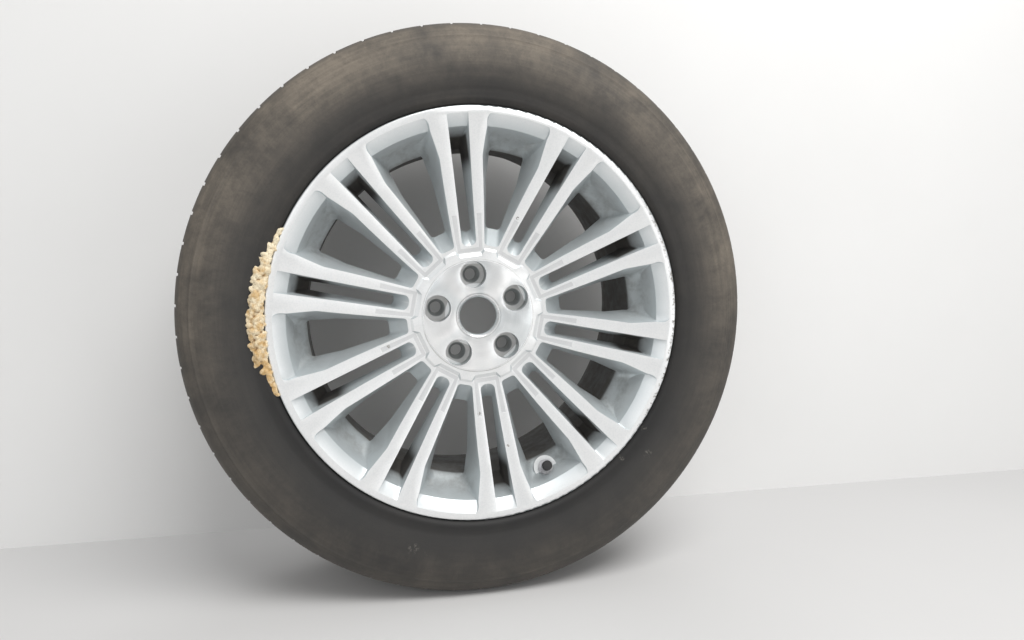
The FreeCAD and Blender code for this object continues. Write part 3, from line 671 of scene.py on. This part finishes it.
def makeTyre():
    outer, inside = tyreSection()
    pitch = 2 * math.pi / tyreShape["pitches"]
    section = outer + inside
    rubber = tyreFinish()
    mesh = bpy.data.meshes.new("tyre_pitch")
    work = bmesh.new()
    columns = []
    for column in tyreColumns:
        turn = column[0] * pitch
        ring = []
        for i, (r, y) in enumerate(section):
            reach = tyreRadius(r, y, column) if i < len(outer) else r
            at = Vector((reach * math.cos(turn), y, reach * math.sin(turn))) / 1000
            ring.append(work.verts.new(at))
        columns.append(ring)
    for a, b in zip(columns, columns[1:]):
        for i in range(len(section)):
            j = (i + 1) % len(section)
            work.faces.new((a[i], a[j], b[j], b[i]))
    bmesh.ops.recalc_face_normals(work, faces=work.faces)
    work.to_mesh(mesh)
    work.free()
    mesh = repeatRound(mesh, tyreShape["pitches"], rubber)
    mesh.name = "tyre_body"
    work = bmesh.new()
    work.from_mesh(mesh)
    bmesh.ops.recalc_face_normals(work, faces=work.faces)
    work.to_mesh(mesh)
    work.free()
    mesh.shade_smooth()
    mesh.set_sharp_from_angle(angle=tyreShape["sharpAngle"])
    placePiece("tyre_body", mesh, rubber, "wheel", ["tyre"])
    print("tyre made,", len(mesh.polygons), "faces")


crustShape = {
    "seed": 11,
    "angles": (155.0, 199.6),
    "count": 330,
    "reach": (
        (155, 0.0010), (160, 0.0040), (167, 0.0068), (176, 0.0084),
        (186, 0.0082), (191, 0.0066), (194.5, 0.0034), (200, 0.0020),
    ),
    "fullReach": 0.0084,
    "endShare": 0.15,
    "innerRadius": 0.2593,
    "depth": -0.1120,
    "rise": 0.0058,
    "lump": (0.0026, 0.0050),
    "stretch": (1.45, 0.75, 0.80, 1.0),
    "softRounds": (2, 26),
    "voxel": 0.0009,
    "ripple": 0.0006,
    "crestReach": 0.0022,
}


def crustReach(angle):
    spans = crustShape["reach"]
    for (a, ra), (b, rb) in zip(spans, spans[1:]):
        if a <= angle <= b:
            return ra + (rb - ra) * (angle - a) / (b - a)
    return spans[0][1]


def crustLumps(work):
    s = crustShape
    dice = random.Random(s["seed"])
    low, high = s["angles"]
    for i in range(s["count"]):
        angle = low + (high - low) * (i + dice.random()) / s["count"]
        half = crustReach(angle)
        across = dice.uniform(-0.95, 0.9)
        full = half / s["fullReach"]
        if dice.random() > s["endShare"] + full:  # the ends break up into single lumps
            continue
        size = dice.uniform(*s["lump"]) * (0.5 + 0.5 * full)
        radius = s["innerRadius"] + size * 0.7 + half + across * half
        lift = s["rise"] * full * (1 - across * across) ** 0.5 * dice.uniform(0.2, 1.0)
        turn = math.radians(angle)
        centre = Vector((radius * math.cos(turn), s["depth"] - lift, radius * math.sin(turn)))
        lean = Matrix.Rotation(dice.uniform(0, math.pi), 4, "Y") @ Matrix.Diagonal(s["stretch"])
        there = Matrix.Translation(centre) @ lean
        bmesh.ops.create_icosphere(work, subdivisions=2, radius=size, matrix=there)


def makeCrust():
    s = crustShape
    work = bmesh.new()
    crustLumps(work)
    mesh = bpy.data.meshes.new("crust_work")
    work.to_mesh(mesh)
    work.free()
    meshes = []
    for rounds in s["softRounds"]:  # the second, much softer skin tells hollows from crests
        holder = bpy.data.objects.new("crust_work", mesh.copy())
        bpy.context.scene.collection.objects.link(holder)
        skin = holder.modifiers.new("skin", "REMESH")
        skin.mode = "VOXEL"
        skin.voxel_size = s["voxel"]
        smooth = holder.modifiers.new("soft", "SMOOTH")
        smooth.factor = 0.5
        smooth.iterations = rounds
        meshes.append(bakedMesh(holder))
    bpy.data.meshes.remove(mesh)
    mesh, softer = meshes
    crest = mesh.attributes.new("crest", "FLOAT", "POINT")
    for vertex, soft, mark in zip(mesh.vertices, softer.vertices, crest.data):
        mark.value = 0.5 + (vertex.co - soft.co).dot(vertex.normal) / s["crestReach"]
        ripple = noise.noise(vertex.co * 300) * 0.6 + noise.noise(vertex.co * 700) * 0.4
        vertex.co += vertex.normal * ripple * s["ripple"]
    bpy.data.meshes.remove(softer)
    mesh.shade_smooth()
    placePiece("crust_lumps", mesh, foamFinish(), "wheel", ["foam_crust"])
    print("foam crust made,", len(mesh.polygons), "faces")


camShot = {
    "azimuth": -9.3,
    "elevation": 4.7,
    "distance": 0.988,
    "focalPixels": 700.0,
    "picture": (1024, 640),
    "axlePixel": (468.7, 310.9),
    "sensor": 36.0,
}


def swung(ahead, side, angle):  # both turned away from the side
    cos, sin = math.cos(angle), math.sin(angle)
    return ahead * cos - side * sin, side * cos + ahead * sin


def setCamera():
    s = camShot
    az = math.radians(s["azimuth"])
    el = math.radians(s["elevation"])
    back = Vector((math.sin(az) * math.cos(el), -math.cos(az) * math.cos(el), math.sin(el)))
    ahead = -back
    right = ahead.cross(Vector((0, 0, 1))).normalized()
    up = right.cross(ahead)
    wide, high = s["picture"]
    across = (s["axlePixel"][0] - wide / 2) / s["focalPixels"]
    upward = (high / 2 - s["axlePixel"][1]) / s["focalPixels"]
    yaw = math.atan(across)
    ahead, right = swung(ahead, right, yaw)
    ahead, up = swung(ahead, up, math.atan(upward * math.cos(yaw)))
    camera = bpy.data.cameras.new("shotCamera")
    camera.sensor_width = s["sensor"]
    camera.lens = s["sensor"] * s["focalPixels"] / wide
    holder = bpy.data.objects.new("shotCamera", camera)
    facing = Matrix((right, up, -ahead)).transposed().to_4x4()
    holder.matrix_world = Matrix.Translation(back * s["distance"]) @ facing
    bpy.context.scene.collection.objects.link(holder)
    bpy.context.scene.camera = holder
    print("camera set")


stageLook = {
    "floor": colour(0.74, 0.735, 0.73),
    "wall": colour(0.83, 0.828, 0.822),
    "stain": colour(0.5, 0.49, 0.47),
    "floorReach": 4.0,
    "wallDepth": 0.19,
    "wallHigh": 3.0,
    "sky": colour(1.0, 1.0, 1.0),
    "skyStrength": 0.40,
    "lamps": {  # place, size, watts and tone; all look at the axle
        "keyPanel": ((0.55, -1.35, 2.1), (1.8, 1.2), 51, (1.0, 0.995, 0.985)),
        "fillPanel": ((-1.2, -2.1, 0.5), (1.6, 1.4), 8, (0.97, 0.985, 1.0)),
        "sidePanel": ((1.5, -1.9, 0.3), (1.2, 1.4), 7, (1.0, 1.0, 1.0)),
        "backPanel": ((0.6, 2.2, 1.6), (1.6, 1.2), 14, (1.0, 1.0, 1.0)),
    },
}


def stageFinish(name, tone, oneSided):
    material, place = newFinish(name)
    mottle = place.grain(3.0, 4.0)
    paint = (mottle * 0.12).tint(tone, stageLook["stain"])
    shader = place.node("BsdfDiffuse", None, {"Color": paint})
    if oneSided:  # the wall shows only from the front and shades nothing
        path = place.node("LightPath")
        outlets = path.socket.node.outputs
        rays = [Wire(place.tree, outlets[key]) for key in ("Is Camera Ray", "Is Glossy Ray")]
        behind = place.node("NewGeometry", None, None, "Backfacing")
        clear = place.node("BsdfTransparent")
        shown = (rays[0] + rays[1]) * (1 - behind)
        shader = place.node("MixShader", None, {0: shown, 1: clear, 2: shader})
    place.node("OutputMaterial", None, {"Surface": shader})
    return material


def flatPanel(name, corners, material):
    mesh = bpy.data.meshes.new(name)
    mesh.from_pydata(corners, [], [range(len(corners))])
    mesh.materials.append(material)
    panel = bpy.data.objects.new(name, mesh)
    bpy.context.scene.collection.objects.link(panel)


def addLamp(name, place, size, watts, tone):
    lamp = bpy.data.lights.new(name, "AREA")
    lamp.shape = "RECTANGLE"
    lamp.size, lamp.size_y = size
    lamp.energy = watts
    lamp.color = tone
    holder = bpy.data.objects.new(name, lamp)
    holder.location = place
    holder.rotation_euler = (-Vector(place)).to_track_quat("-Z", "Y").to_euler()
    bpy.context.scene.collection.objects.link(holder)


def setStage():
    s = stageLook
    low = cadBox[0][2]
    reach = s["floorReach"]
    deep = s["wallDepth"]
    floor = [(-reach, -reach, low), (reach, -reach, low), (reach, reach, low), (-reach, reach, low)]
    flatPanel("floor", floor, stageFinish("floorTone", s["floor"], False))
    top = low + s["wallHigh"]
    wall = [(-reach, deep, low), (reach, deep, low), (reach, deep, top), (-reach, deep, top)]
    flatPanel("backWall", wall, stageFinish("wallTone", s["wall"], True))
    for name, lamp in s["lamps"].items():
        addLamp(name, *lamp)
    world = bpy.data.worlds.new("studioSky")
    bpy.context.scene.world = world
    world.use_nodes = True
    light = world.node_tree.nodes["Background"]
    light.inputs["Color"].default_value = s["sky"]
    light.inputs["Strength"].default_value = s["skyStrength"]
    bpy.context.scene.view_settings.view_transform = "Standard"
    print("stage set")


dressNodes()
dressRim()
makeTyre()
makeCrust()
setCamera()
setStage()
